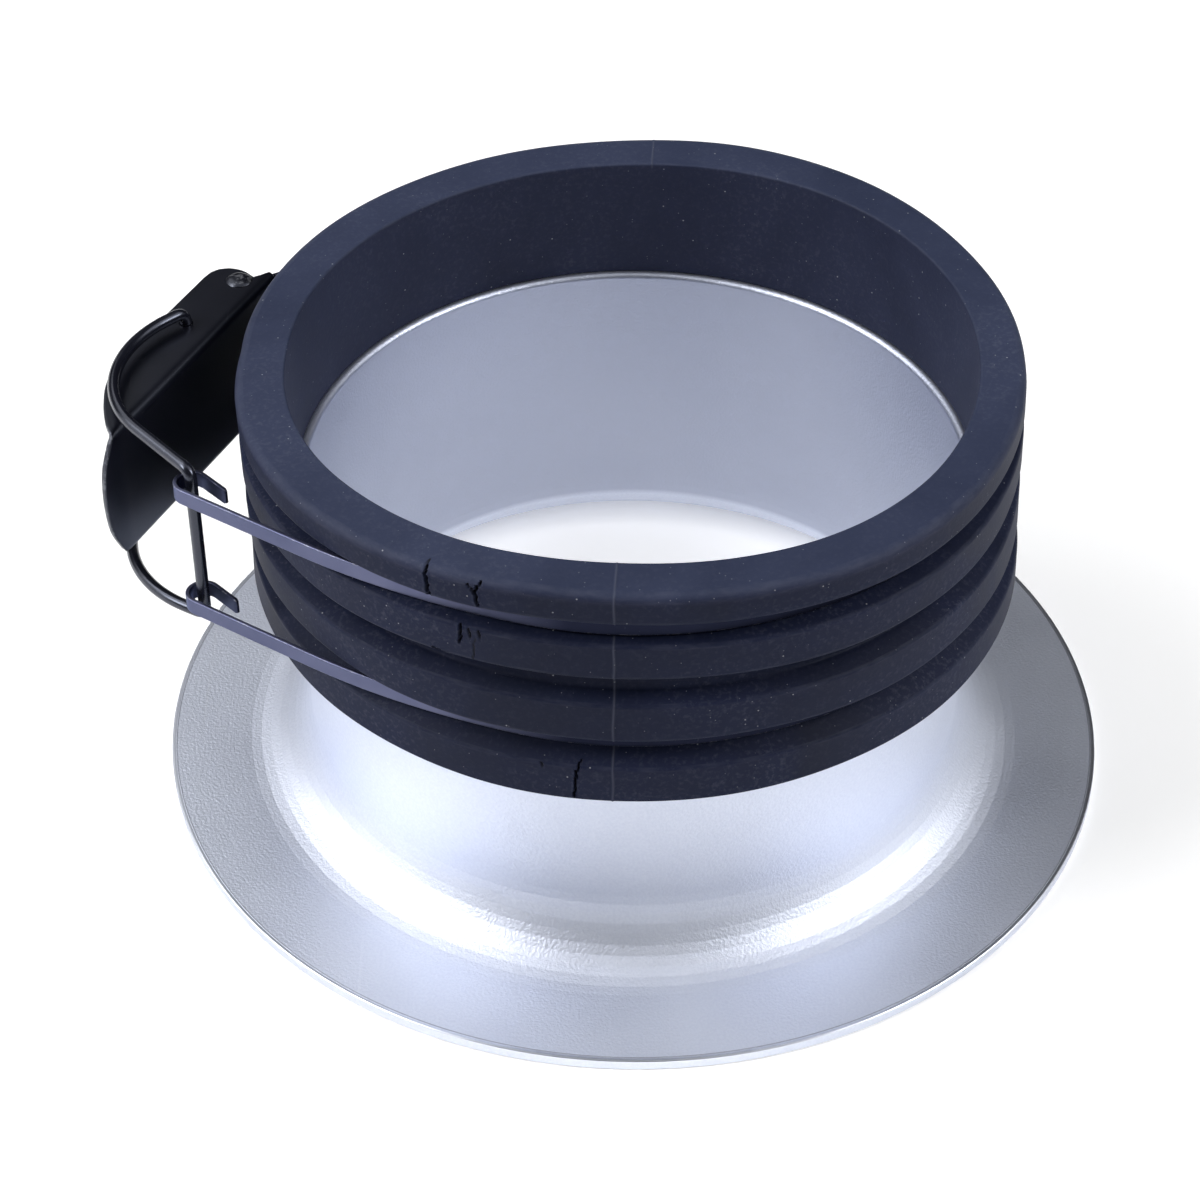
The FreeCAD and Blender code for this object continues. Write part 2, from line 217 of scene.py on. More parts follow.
def new_piece(name, points, faces, material, attributes=None):
    """Mesh object from points in millimetres, smooth shaded except across hard edges."""
    mesh = bpy.data.meshes.new(name)
    mesh.from_pydata((np.asarray(points, float) * MM).tolist(), [], faces)
    mesh.update()
    for key, values in (attributes or {}).items():
        layer = mesh.attributes.new(key, "FLOAT", "POINT")
        layer.data.foreach_set("value", np.asarray(values, np.float32))
    mesh.shade_smooth()
    mesh.set_sharp_from_angle(angle=math.radians(HARD_EDGE_DEG))
    mesh.materials.append(material)
    piece = bpy.data.objects.new(name, mesh)
    bpy.context.scene.collection.objects.link(piece)
    return piece


def grid_faces(rows, columns, close_rows, close_columns):
    """Quads of a grid of points numbered row by row."""
    faces = []
    for i in range(rows if close_rows else rows - 1):
        here = i * columns
        after = (i + 1) % rows * columns
        for j in range(columns if close_columns else columns - 1):
            k = (j + 1) % columns
            faces.append((here + j, after + j, after + k, here + k))
    return faces


def lidded_faces(rows, sides):
    """Outward faces of a row of rings, with a lid at each end."""
    faces = [face[::-1] for face in grid_faces(rows, sides, False, True)]
    faces.append(tuple(reversed(range(sides))))
    faces.append(tuple(range((rows - 1) * sides, rows * sides)))
    return faces


def circle_angles(sides):
    return np.linspace(0, 2 * math.pi, sides, endpoint=False)


def rounded(corners, steps):
    """Closed outline with each corner (x, y, radius) rounded. Also marks the outer rounded points."""
    points = []
    marks = []
    count = len(corners)
    for i in range(count):
        here = np.array(corners[i][:2], float)
        before = unit(np.array(corners[i - 1][:2], float) - here)
        after = unit(np.array(corners[(i + 1) % count][:2], float) - here)
        radius = corners[i][2]
        half = math.acos(max(-1.0, min(1.0, before @ after))) / 2
        centre = here + unit(before + after) * radius / math.sin(half)
        setback = radius / math.tan(half)
        start = here + before * setback - centre
        end = here + after * setback - centre
        turn = math.atan2(start[0] * end[1] - start[1] * end[0], start @ end)
        for step in range(steps + 1):
            angle = turn * step / steps
            c, s = math.cos(angle), math.sin(angle)
            points.append(centre + np.array([start[0] * c - start[1] * s, start[0] * s + start[1] * c]))
            marks.append(1.0 if turn > 0 else 0.0)
    return np.array(points), np.array(marks)


def refined(points, marks, longest):
    """Adds unmarked points to a closed outline until no part is longer than this."""
    out = []
    out_marks = []
    count = len(points)
    for i in range(count):
        a, b = points[i], points[(i + 1) % count]
        parts = max(1, math.ceil(np.linalg.norm(b - a) / longest))
        out += [a + (b - a) * k / parts for k in range(parts)]
        out_marks += [marks[i]] + [0.0] * (parts - 1)
    return np.array(out), np.array(out_marks)


def guarded(points, marks, gap):
    """Adds unmarked points a gap from each end of the straight parts, so wear stays on corners."""
    out = []
    out_marks = []
    count = len(points)
    for i in range(count):
        a, b = points[i], points[(i + 1) % count]
        length = np.linalg.norm(b - a)
        out.append(a)
        out_marks.append(marks[i])
        if length > 4 * gap:
            step = (b - a) * gap / length
            out += [a + step, b - step]
            out_marks += [0.0, 0.0]
    return np.array(out), np.array(out_marks)


def lathe_grid(outline, angles):
    """Points of an outline (radius, z) turned about Z, one row per angle in degrees."""
    turn = np.radians(angles)[:, None]
    radius = outline[None, :, 0]
    x = radius * np.cos(turn)
    y = radius * np.sin(turn)
    z = np.broadcast_to(outline[None, :, 1], x.shape)
    return np.stack([x, y, z], axis=-1)


def angle_steps(coarse, fine_spans):
    """Angles all the way round: coarse steps, and fine ones inside the spans (from, to, step)."""
    angles = []
    angle = -180.0
    while angle < 180.0 - 1e-6:
        angles.append(angle)
        step = coarse
        for low, high, fine in fine_spans:
            if low <= angle < high:
                step = fine
            elif angle < low < angle + step:
                step = low - angle
        angle += step
    return np.array(angles)


def smooth_through(points, values):
    """Smooth curve through (x, y) points, read at the given x values."""
    xs = np.array([p[0] for p in points], float)
    ys = np.array([p[1] for p in points], float)
    slopes = np.gradient(ys, xs)
    slot = np.clip(np.searchsorted(xs, values) - 1, 0, len(xs) - 2)
    width = xs[slot + 1] - xs[slot]
    u = (values - xs[slot]) / width
    from_left = (1 + 2 * u) * (1 - u) ** 2 * ys[slot] + u * (1 - u) ** 2 * width * slopes[slot]
    from_right = u * u * (3 - 2 * u) * ys[slot + 1] + u * u * (u - 1) * width * slopes[slot + 1]
    return from_left + from_right


# ------------------------------------------------------------------ materials

def add(tree, kind, settings=None, inputs=None):
    """Adds a shader node. An input that is a socket is linked, anything else is its value."""
    made = tree.nodes.new(kind)
    for key, value in (settings or {}).items():
        setattr(made, key, value)
    for key, value in (inputs or {}).items():
        if isinstance(value, bpy.types.NodeSocket):
            tree.links.new(value, made.inputs[key])
        else:
            made.inputs[key].default_value = value
    return made


def new_material(name):
    """Material with an unset shader. Also returns its tree, the shader and the place on the object."""
    material = bpy.data.materials.new(name)
    material.use_nodes = True
    tree = material.node_tree
    tree.nodes.clear()
    shader = add(tree, "ShaderNodeBsdfPrincipled")
    output = add(tree, "ShaderNodeOutputMaterial")
    tree.links.new(shader.outputs["BSDF"], output.inputs["Surface"])
    place = add(tree, "ShaderNodeTexCoord").outputs["Object"]
    return material, tree, shader, place


def math_node(tree, operation, a, b=0.0):
    return add(tree, "ShaderNodeMath", {"operation": operation}, {0: a, 1: b}).outputs[0]


def times(tree, a, b):
    return math_node(tree, "MULTIPLY", a, b)


def plus(tree, a, b):
    return math_node(tree, "ADD", a, b)


def minus(tree, a, b):
    return math_node(tree, "SUBTRACT", a, b)


def greater(tree, a, b):
    return math_node(tree, "MAXIMUM", a, b)


def ramp(tree, value, low, high, out_low=0.0, out_high=1.0, smooth=False):
    """Maps low..high to out_low..out_high and holds the ends."""
    settings = {"interpolation_type": "SMOOTHSTEP"} if smooth else {}
    inputs = {"Value": value, "From Min": low, "From Max": high, "To Min": out_low, "To Max": out_high}
    return add(tree, "ShaderNodeMapRange", settings, inputs).outputs[0]


def noise(tree, place, scale, detail=2.0, roughness=0.5, distortion=0.0):
    inputs = {
        "Vector": place,
        "Scale": scale,
        "Detail": detail,
        "Roughness": roughness,
        "Distortion": distortion,
    }
    return add(tree, "ShaderNodeTexNoise", None, inputs).outputs[0]


def stretched(tree, place, scale, rotation=(0, 0, 0)):
    """The place turned and scaled unevenly, for streaks and scratches."""
    inputs = {"Vector": place, "Rotation": rotation, "Scale": scale}
    return add(tree, "ShaderNodeMapping", None, inputs).outputs[0]


def blend_colour(tree, share, a, b):
    """Mixes two colours, each a socket or (red, green, blue)."""
    a, b = (side if isinstance(side, bpy.types.NodeSocket) else (*side, 1.0) for side in (a, b))
    return add(tree, "ShaderNodeMix", {"data_type": "RGBA"}, {0: share, 6: a, 7: b}).outputs[2]


def bump(tree, height, strength, distance, normal=None):
    inputs = {"Height": height, "Strength": strength, "Distance": distance}
    if normal is not None:
        inputs["Normal"] = normal
    return add(tree, "ShaderNodeBump", None, inputs).outputs[0]


def attribute(tree, name):
    return add(tree, "ShaderNodeAttribute", {"attribute_name": name}).outputs["Fac"]


def specks(tree, place, scale, size, share):
    """Small scattered dots: 1 inside a dot. Only some of the cells hold one."""
    cells = add(tree, "ShaderNodeTexVoronoi", None, {"Vector": place, "Scale": scale})
    chosen = add(tree, "ShaderNodeSeparateColor", None, {0: cells.outputs["Color"]})
    dot = ramp(tree, cells.outputs["Distance"], size, size * 0.5)
    return times(tree, dot, ramp(tree, chosen.outputs[0], 1 - share, 1 - share + 0.02))


def link_surface(tree, shader, colour, rough, normal):
    tree.links.new(colour, shader.inputs["Base Color"])
    tree.links.new(rough, shader.inputs["Roughness"])
    tree.links.new(normal, shader.inputs["Normal"])


def blasted_aluminium():
    """Bead-blasted spun aluminium: pebbly grain, faint turning lines, a cleaner machined edge, and painted
    shade inside the throat.
    """
    dark, light = (0.60, 0.635, 0.74), (0.66, 0.695, 0.79)
    # painted shade: a darker copy of the colour for the inside of the throat
    shaded_throat_dark, shaded_throat_light = (0.40, 0.43, 0.53), (0.46, 0.49, 0.59)
    grain_tips = (0.78, 0.81, 0.88)
    scuffed = (0.85, 0.87, 0.92)
    rubbed = (0.86, 0.88, 0.94)
    edge_shadow = (0.16, 0.17, 0.22)
    # radii and heights in metres, as the object coordinates are
    machined_from, machined_to = 0.0724, 0.0725
    edge_line_r = 0.07235
    throat_from, throat_to = 0.0500, 0.0494
    flare_from, flare_to = 0.016, 0.006

    material, tree, shader, place = new_material("blasted_aluminium")
    parts = add(tree, "ShaderNodeSeparateXYZ", None, {0: place})
    x, y, height = parts.outputs
    radius = math_node(tree, "SQRT", plus(tree, times(tree, x, x), times(tree, y, y)))
    wear = attribute(tree, "wear")

    grain = noise(tree, place, 2300.0, 2.0, 0.55)
    fine = noise(tree, place, 6500.0, 1.0)
    mottle = noise(tree, place, 30.0, 3.0)
    turned = add(tree, "ShaderNodeCombineXYZ", None, {0: radius, 2: height}).outputs[0]
    near_flare = ramp(tree, height, flare_from, flare_to, smooth=True)
    lines = times(tree, noise(tree, turned, 1500.0, 3.0, 0.7), near_flare)
    edge = ramp(tree, radius, machined_from, machined_to)
    grain_share = ramp(tree, edge, 0.0, 1.0, 1.0, 0.12)
    from_line = math_node(tree, "ABSOLUTE", minus(tree, radius, edge_line_r))
    edge_line = ramp(tree, from_line, 0.00014, 0.00005)
    long_marks = stretched(tree, place, (900.0, 35.0, 900.0), (0, 0, 0.6))
    scuff = ramp(tree, noise(tree, long_marks, 1.0, 2.0), 0.7, 0.78)
    inside = ramp(tree, radius, throat_from, throat_to)

    tone = ramp(tree, mottle, 0.3, 0.7)
    colour = blend_colour(tree, tone, dark, light)
    colour = blend_colour(tree, ramp(tree, grain, 0.35, 0.65, 0.0, 0.25), colour, grain_tips)
    colour = blend_colour(tree, times(tree, scuff, 0.12), colour, scuffed)
    colour = blend_colour(tree, times(tree, wear, 0.35), colour, rubbed)
    colour = blend_colour(tree, times(tree, edge_line, 0.6), colour, edge_shadow)
    # painted shade inside the throat, over the inner neck wall
    shaded_throat_colour = blend_colour(tree, tone, shaded_throat_dark, shaded_throat_light)
    colour = blend_colour(tree, times(tree, inside, 0.9), colour, shaded_throat_colour)
    rough = ramp(tree, mottle, 0.3, 0.7, 0.50, 0.56)
    for smoother, by in ((edge, 0.14), (wear, 0.08), (scuff, 0.05)):
        rough = minus(tree, rough, times(tree, smoother, by))

    normal = bump(tree, times(tree, grain, grain_share), 0.55, 0.00012)
    normal = bump(tree, fine, 0.25, 0.00003, normal)
    normal = bump(tree, lines, 0.35, 0.00006, normal)
    shader.inputs["Metallic"].default_value = 1.0
    link_surface(tree, shader, colour, rough, normal)
    return material


def black_rubber():
    """Matte blue-black moulded rubber with dusty edges, specks and smudges. It also has painted light and
    shade: a lighter colour on upward faces, a darker one on the outer ribs and in the nicks, and dust on
    the mould lines that also serves as their painted highlight.
    """
    bore_dark, bore_light = (0.0130, 0.0165, 0.0370), (0.0205, 0.0250, 0.0520)
    # painted light: upward faces take this lighter copy of the rubber colour
    lit_top_dark, lit_top_light = (0.0195, 0.0250, 0.0500), (0.0280, 0.0350, 0.0670)
    # painted shade: the outer rib walls take this darker copy of the rubber colour
    shaded_rib_dark, shaded_rib_light = (0.0040, 0.0064, 0.0200), (0.0072, 0.0106, 0.0310)
    # dust colour, also used as the painted highlight on the mould lines
    dust_and_highlight_tint = (0.115, 0.122, 0.155)
    speck = (0.34, 0.35, 0.38)
    # painted shade inside the nicks
    nick_shade_colour = (0.004, 0.004, 0.006)

    material, tree, shader, place = new_material("black_rubber")
    wear = attribute(tree, "wear")
    seam_dust_and_highlight = attribute(tree, "seam_dust_and_highlight")
    nick_shade = attribute(tree, "nick_shade")
    # 1 on the outer rib walls, where the painted shade colour goes
    outer = attribute(tree, "outer")

    cloudy = noise(tree, place, 38.0, 4.0, 0.6, 0.6)
    grain = noise(tree, place, 1500.0, 3.0, 0.6)
    fine = noise(tree, place, 4200.0, 2.0)
    streaks = noise(tree, stretched(tree, place, (260.0, 260.0, 1400.0)), 1.0, 4.0, 0.65)

    shade = ramp(tree, cloudy, 0.35, 0.68)
    facing = add(tree, "ShaderNodeNewGeometry").outputs["Normal"]
    upward = add(tree, "ShaderNodeSeparateXYZ", None, {0: facing}).outputs[2]
    bore_colour = blend_colour(tree, shade, bore_dark, bore_light)
    lit_top_colour = blend_colour(tree, shade, lit_top_dark, lit_top_light)
    shaded_rib_colour = blend_colour(tree, shade, shaded_rib_dark, shaded_rib_light)
    # painted light and shade: lighter where the surface faces up, darker on the outer rib walls
    colour = blend_colour(tree, ramp(tree, upward, 0.3, 0.9), bore_colour, lit_top_colour)
    colour = blend_colour(tree, outer, colour, shaded_rib_colour)
    worn_edge = times(tree, ramp(tree, wear, 0.1, 0.9), ramp(tree, streaks, 0.42, 0.72))
    dust_and_seam_highlight = times(tree, ramp(tree, grain, 0.5, 0.72), ramp(tree, cloudy, 0.45, 0.75, 0.05, 0.28))
    dust_and_seam_highlight = greater(tree, dust_and_seam_highlight, times(tree, worn_edge, 0.12))
    # dust on the mould lines, which also serves as their painted highlight
    dust_and_seam_highlight = greater(tree, dust_and_seam_highlight, times(tree, seam_dust_and_highlight, 0.22))
    colour = blend_colour(tree, dust_and_seam_highlight, colour, dust_and_highlight_tint)
    dots = specks(tree, place, 620.0, 0.09, 0.20)
    dots = greater(tree, dots, times(tree, specks(tree, place, 1250.0, 0.12, 0.22), 0.6))
    colour = blend_colour(tree, times(tree, dots, 0.55), colour, speck)
    # painted shade inside the nicks
    colour = blend_colour(tree, nick_shade, colour, nick_shade_colour)

    rough = ramp(tree, cloudy, 0.3, 0.7, 0.55, 0.65)
    rough = plus(tree, rough, times(tree, dust_and_seam_highlight, 0.2))
    normal = bump(tree, grain, 0.30, 0.00008)
    normal = bump(tree, fine, 0.22, 0.00003, normal)
    normal = bump(tree, streaks, 0.12, 0.0001, normal)
    normal = bump(tree, dots, 0.3, 0.00005, normal)
    shader.inputs["Specular IOR Level"].default_value = 0.12
    link_surface(tree, shader, colour, rough, normal)
    return material


def black_finish(name, dark, light, metallic, smoothest, roughest, specular, bare, groove_shade=None):
    """Black-finished steel: fine orange peel, cloudy sheen and thin bright wear on its edges.

    bare is how strongly worn edges show, and the last argument is a painted shade colour, used where the
    layer of lit share is 0.
    """
    worn_steel = (0.30, 0.31, 0.34)
    scratched = (0.2, 0.2, 0.23)

    material, tree, shader, place = new_material(name)
    wear = attribute(tree, "wear")
    cloudy = noise(tree, place, 120.0, 3.0, 0.55)
    peel = noise(tree, place, 1400.0, 2.0, 0.5)
    fine = noise(tree, place, 5200.0, 2.0)
    scratch_at = stretched(tree, place, (1800.0, 60.0, 1800.0), (0.2, 0.1, 0.9))
    scratch = ramp(tree, noise(tree, scratch_at, 1.0, 2.0), 0.70, 0.76)

    colour = blend_colour(tree, ramp(tree, cloudy, 0.3, 0.7), dark, light)
    # painted shade where the strip sits in its groove
    if groove_shade:
        colour = blend_colour(tree, attribute(tree, "lit_share"), groove_shade, colour)
    chips = ramp(tree, noise(tree, place, 900.0, 3.0, 0.7), 0.52, 0.60)
    worn = times(tree, times(tree, wear, chips), bare)
    colour = blend_colour(tree, worn, colour, worn_steel)
    colour = blend_colour(tree, times(tree, scratch, 0.08), colour, scratched)
    rough = ramp(tree, cloudy, 0.3, 0.7, smoothest, roughest)
    rough = plus(tree, rough, times(tree, scratch, 0.08))
    normal = bump(tree, peel, 0.10, 0.00006)
    normal = bump(tree, fine, 0.10, 0.00002, normal)
    shader.inputs["Metallic"].default_value = metallic
    shader.inputs["Specular IOR Level"].default_value = specular
    shader.inputs["Specular Tint"].default_value = (0.74, 0.80, 1.0, 1.0)
    link_surface(tree, shader, colour, rough, normal)
    return material


def floor_paper():
    """Studio paper whose emission is painted light: it glows more inside the ring and far away, so that
    both stay pale instead of shaded.
    """
    dark, light = (0.86, 0.86, 0.865), (0.88, 0.88, 0.88)
    glow_inside, glow_around, glow_far = 0.58, 0.19, 0.90

    material, tree, shader, place = new_material("studio_paper")
    tooth = noise(tree, place, 700.0, 3.0)
    shade = ramp(tree, noise(tree, place, 6.0), 0.3, 0.7)
    radius = add(tree, "ShaderNodeVectorMath", {"operation": "LENGTH"}, {0: place}).outputs["Value"]
    # painted light: the floor glows inside the ring, where it would lie in shade
    glow = ramp(tree, radius, 0.050, 0.058, glow_inside, glow_around)
    glow = greater(tree, glow, ramp(tree, radius, 0.45, 1.4, glow_around, glow_far))
    tree.links.new(blend_colour(tree, shade, dark, light), shader.inputs["Base Color"])
    tree.links.new(bump(tree, tooth, 0.05, 0.0002), shader.inputs["Normal"])
    tree.links.new(glow, shader.inputs["Emission Strength"])
    shader.inputs["Emission Color"].default_value = (1.0, 1.0, 1.0, 1.0)
    shader.inputs["Roughness"].default_value = 0.9
    shader.inputs["Specular IOR Level"].default_value = 0.1
    return material


ALUMINIUM = blasted_aluminium()
RUBBER = black_rubber()
STEEL = black_finish(
    "black_steel", (0.085, 0.092, 0.155), (0.115, 0.122, 0.195), metallic=1.0,
    smoothest=0.36, roughest=0.44, specular=0.5, bare=0.35, groove_shade=(0.012, 0.014, 0.028),
)
WIRE = black_finish(
    "black_wire", (0.0050, 0.0052, 0.0085), (0.0070, 0.0076, 0.0125), metallic=0.0,
    smoothest=0.20, roughest=0.25, specular=0.70, bare=0.3,
)
PAINT = black_finish(
    "black_paint", (0.0036, 0.0039, 0.0066), (0.0041, 0.0044, 0.0074), metallic=0.0,
    smoothest=0.28, roughest=0.31, specular=0.62, bare=0.22,
)


# ------------------------------------------------------------------ ring and collar

def build_ring():
    """Straight neck flaring into a flat flange, spun from one sheet."""
    inner_r = NECK_R - PLATE_T
    lip_round = PLATE_T / 2 - 0.01
    outline, marks = rounded([
        (inner_r, 0, FLARE_R + PLATE_T),
        (FLANGE_R, 0, 0.3),
        (FLANGE_R, PLATE_T, 0.22),
        (NECK_R, PLATE_T, FLARE_R),
        (NECK_R, NECK_TOP_Z, lip_round),
        (inner_r, NECK_TOP_Z, lip_round),
    ], 10)
    outline, marks = guarded(outline, marks, WEAR_GAP)
    outline, marks = refined(outline, marks, 3.0)
    thin_edge = (outline[:, 0] > FLANGE_R - 0.6) | (outline[:, 1] > NECK_TOP_Z - 1.0)
    angles = angle_steps(TURN_STEP_DEG, [])
    points = lathe_grid(outline, angles)
    turn = np.radians(angles)[:, None]
    out = np.clip(outline[None, :, 0] - WARP_R, 0, WARP_RUN) / WARP_RUN
    # the underside stays flat
    points[..., 2] += out * WARP_RISE * (1 + np.sin(3 * turn + 0.6)) * (points[..., 2] > 1)
    wear = np.broadcast_to(np.where(thin_edge, marks, 0.0), points.shape[:2])
    faces = grid_faces(len(angles), len(outline), True, True)
    return new_piece("flared_ring_spun", points.reshape(-1, 3), faces, ALUMINIUM, {"wear": wear.ravel()})


def collar_outline():
    """Closed outline (radius, z) of the collar's wall, and 1 on the corners that can wear."""
    def wall_r(z):
        share = (COLLAR_TOP_Z - z) / (COLLAR_TOP_Z - COLLAR_BASE_Z)
        return COLLAR_TOP_R + share * (COLLAR_BASE_R - COLLAR_TOP_R)

    corners = [
        (BORE_R, NECK_TOP_Z, 0.15),
        (NECK_R, NECK_TOP_Z, 0.1),
        (NECK_R, COLLAR_BASE_Z, 0.2),
        (COLLAR_BASE_R, COLLAR_BASE_Z, RIB_ROUND),
    ]
    for ceiling_z, floor_z, rib_z in reversed(GROOVES):
        corners += [
            (wall_r(rib_z), rib_z, RIB_ROUND),
            (GROOVE_R, floor_z, 0.5),
            (GROOVE_R, ceiling_z, 0.25),
            (wall_r(ceiling_z), ceiling_z, RIB_ROUND),
        ]
    corners += [(COLLAR_TOP_R, COLLAR_TOP_Z, MOUTH_ROUND), (BORE_R, COLLAR_TOP_Z, 0.35)]
    outline, marks = rounded(corners, 5)
    outline, marks = guarded(outline, marks, WEAR_GAP)
    return refined(outline, marks, 0.45)


def mouth_spread(angles, radius, z):
    """How far the collar's uneven free mouth moves each point outward."""
    inside = smooth_through([(deg, inner) for deg, inner, outer in MOUTH_SPREAD], angles)[:, None]
    outside = smooth_through([(deg, outer) for deg, inner, outer in MOUTH_SPREAD], angles)[:, None]
    below = COLLAR_TOP_Z - z
    inside = inside * np.clip(1 - below / (COLLAR_TOP_Z - NECK_TOP_Z - 1.0), 0, 1)
    outside = outside * np.clip(1 - below / SPREAD_DEPTH, 0, 1) ** 0.7
    in_groove = (radius < GROOVE_R + 0.3) & (radius > NECK_R + 0.1) & (z < GROOVES[0][0] + 0.5)
    share = np.clip((radius - BORE_R) / (COLLAR_TOP_R - BORE_R), 0, 1)
    return (inside * (1 - share) + outside * share) * ~in_groove


def mould_lines(angles, radius, z):
    """Ridges left by the mould: their strength, and how far they move points outward and up."""
    strength = np.zeros(radius.shape)
    outward = np.zeros(radius.shape)
    upward = np.zeros(radius.shape)
    for seam_deg, tall in SEAMS:
        away = (angles[:, None] - seam_deg) * math.pi / 180 * radius
        wander = 0.06 * np.sin(z * 0.9)
        ridge = np.exp(-((away + wander) / SEAM_HALF_W) ** 2)
        ridge = ridge * ((radius > 53.0) | (z > COLLAR_TOP_Z - 0.5))
        strength = np.maximum(strength, ridge)
        outward += tall * ridge * (radius > 54.0)
        upward += 0.08 * ridge * (z > COLLAR_TOP_Z - 0.3) * (radius < 55.5)
    return strength, outward, upward


def distance_to_line(along, z, line):
    """Distance from each point to a polyline, both given as (arc length, z)."""
    best = np.full(along.shape, np.inf)
    for a, b in zip(line[:-1], line[1:]):
        step = b - a
        share = ((along - a[0]) * step[0] + (z - a[1]) * step[1]) / (step @ step)
        share = np.clip(share, 0, 1)
        gap = np.hypot(along - a[0] - share * step[0], z - a[1] - share * step[1])
        best = np.minimum(best, gap)
    return best


def nicks(angles, z):
    """Nicks in the rubber: a mask of painted shade, 1 inside them, and how far they move each point
    outward.
    """
    dark = np.zeros(z.shape)
    outward = np.zeros(z.shape)
    ragged = 0.10 * np.sin(z * 5.1) + 0.07 * np.sin(z * 11.3 + 1.0)
    along = angles[:, None] * math.pi / 180 * NICK_R + ragged
    for path, half_width, depth in NICKS:
        line = [np.array([math.radians(deg) * NICK_R, at_z]) for deg, at_z in path]
        gap = distance_to_line(along, z, line)
        slot = np.clip(1 - gap / half_width, 0, 1)
        curl = np.exp(-((gap - 1.6 * half_width) / (0.6 * half_width)) ** 2)
        outward += -depth * slot ** 0.8 + 0.10 * depth * curl
        dark = np.maximum(dark, np.clip(slot * 1.4, 0, 1))
    return dark, outward


def build_collar():
    """Moulded sleeve with ribs and grooves, an uneven mouth, mould lines and nicks."""
    outline, marks = collar_outline()
    fine_spans = list(NICKED_SPANS)
    fine_spans += [(deg - SEAM_SPAN_DEG, deg + SEAM_SPAN_DEG, SEAM_STEP_DEG) for deg, tall in SEAMS]
    angles = angle_steps(TURN_STEP_DEG, fine_spans)
    points = lathe_grid(outline, angles)
    turn = np.radians(angles)[:, None]
    radius = np.broadcast_to(outline[None, :, 0], points.shape[:2])
    z = points[..., 2].copy()
    on_wall = np.clip((radius - 55.0) / 0.8, 0, 1)

    wobble = 0.07 * np.sin(5 * turn + z * 0.11) + 0.05 * np.sin(11 * turn + 1.3 + z * 0.23)
    seam_dust_and_highlight, seam_out, seam_up = mould_lines(angles, radius, z)
    nick_shade, cut_out = nicks(angles, z)
    change = (wobble + cut_out) * on_wall + mouth_spread(angles, radius, z) + seam_out
    points[..., 0] += change * np.cos(turn)
    points[..., 1] += change * np.sin(turn)
    points[..., 2] += seam_up

    worn = marks * (outline[:, 0] > 49.0) * (outline[:, 1] > 38.0)
    layers = {
        "wear": np.broadcast_to(worn, z.shape),
        # mould-line mask: dust there, and also its painted highlight
        "seam_dust_and_highlight": seam_dust_and_highlight,
        # painted shade inside the nicks
        "nick_shade": nick_shade * on_wall,
        # outer rib walls, which get the painted shade colour
        "outer": np.clip((radius - 52.0) / 1.5, 0, 1) * np.clip((COLLAR_TOP_Z - 0.7 - z) / 0.8, 0, 1),
    }
    layers = {key: values.ravel() for key, values in layers.items()}
    faces = grid_faces(len(angles), len(outline), True, True)
    return new_piece("ribbed_collar", points.reshape(-1, 3), faces, RUBBER, layers)


# ------------------------------------------------------------------ bands

def arc_points(centre, radius, start_deg, turn_deg, step):
    """Points along an arc in plan, without its last one."""
    count = max(2, math.ceil(abs(math.radians(turn_deg)) * radius / step))
    return [centre + heading(start_deg + turn_deg * k / count) * radius for k in range(count)]


def line_points(a, b, step):
    """Points along a straight line in plan, without its last one."""
    count = max(2, math.ceil(np.linalg.norm(b - a) / step))
    return [a + (b - a) * k / count for k in range(count)]


def strip_path():
    """Plan path of a strip: eye on the hinge pin, round the collar, slack tail, open hook and lip.

    Also returns how many of its points belong to the eye.
    """
    eye_r = PIN_R + EYE_CLEAR + BAND_T / 2
    hinge_r = np.linalg.norm(HINGE)
    hinge_deg = math.degrees(math.atan2(HINGE[1], HINGE[0]))
    leave_deg = hinge_deg - math.degrees(math.acos((BAND_R - eye_r) / hinge_r))
    leave = heading(leave_deg) * BAND_R
    eye_touch = HINGE + heading(leave_deg) * eye_r
    run_start = BOW_CENTRE + heading(LINE_DEG) * TAIL_BEND_R
    run_end = HOOK + heading(LINE_DEG) * HOOK_R
    lip_start = HOOK + heading(LINE_DEG - HOOK_WRAP_DEG) * HOOK_R
    lip_end = lip_start + heading(LINE_DEG - 90 - HOOK_WRAP_DEG) * LIP_L

    path = arc_points(HINGE, eye_r, leave_deg + EYE_WRAP_DEG, -EYE_WRAP_DEG, 0.25)
    eye_count = len(path)
    path += line_points(eye_touch, leave, STRIP_STEP)
    path += arc_points(np.zeros(2), BAND_R, leave_deg, TAIL_START_DEG - leave_deg, STRIP_STEP)
    path += arc_points(BOW_CENTRE, TAIL_BEND_R, TAIL_START_DEG, -TAIL_BEND_DEG, STRIP_STEP)
    path += line_points(run_start, run_end, STRIP_STEP)
    path += arc_points(HOOK, HOOK_R, LINE_DEG, -HOOK_WRAP_DEG, 0.3)
    path += line_points(lip_start, lip_end, 0.4) + [lip_end]
    return np.array(path), eye_count


